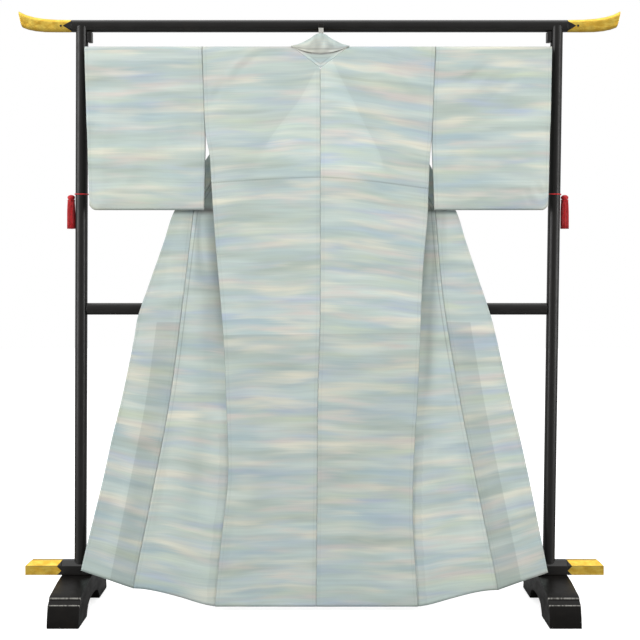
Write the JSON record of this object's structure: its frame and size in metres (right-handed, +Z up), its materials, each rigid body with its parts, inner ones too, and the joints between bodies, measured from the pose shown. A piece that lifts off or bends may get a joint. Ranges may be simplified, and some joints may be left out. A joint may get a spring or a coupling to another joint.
{
  "type": "silk kimono on a kimono stand",
  "caption": "Pale silk kimono spread open, back outwards, on a rod hung from a black lacquered kimono stand with upturned gold ends and red tassels.",
  "frame": {"origin": "on the floor, at the middle of the bounding box's underside, under the middle of the top bar and in the plane of the posts; the stand leans by half a degree, so the middle between its feet is 14.5 mm to the -X side", "axes": "+Z up; -Y towards someone who looks at the kimono's back, which hangs on the stand's -Y side; +X to that person's right"},
  "size_m": [1.745, 0.5, 1.742],
  "materials": {
    "silk": "fine unlined silk crepe, pale grey-green with blurred weft-wise streaks of cream, peach, lavender and aqua, soft sheen",
    "black_lacquer": "black lacquer, glossy",
    "gold_fittings": "gold leaf, satin",
    "hook_metal": "satin",
    "rod_wood": "plain, smooth",
    "red_silk_thread": "twisted silk thread"
  },
  "bodies": {
    "root": {"body_left": "silk", "body_right": "silk", "overlap_left": "silk", "overlap_right": "silk", "sleeve_left": "silk", "sleeve_right": "silk", "collar_left": "silk", "collar_right": "silk", "collar_back": "silk", "neck_gusset": "silk", "top_bar": "black_lacquer", "middle_bar": "black_lacquer", "base_bar": "black_lacquer", "post_left": "black_lacquer", "post_right": "black_lacquer", "foot_left": "black_lacquer", "foot_right": "black_lacquer", "bracket_left": "black_lacquer", "bracket_right": "black_lacquer", "top_end_left": "gold_fittings", "top_end_right": "gold_fittings", "base_end_left": "gold_fittings", "base_end_right": "gold_fittings", "rod_hook": "hook_metal", "sleeve_rod": "rod_wood", "tassel_cord_left": "red_silk_thread", "tassel_cord_right": "red_silk_thread", "tassel_left": "red_silk_thread", "tassel_right": "red_silk_thread"}
  },
  "joints": []
}
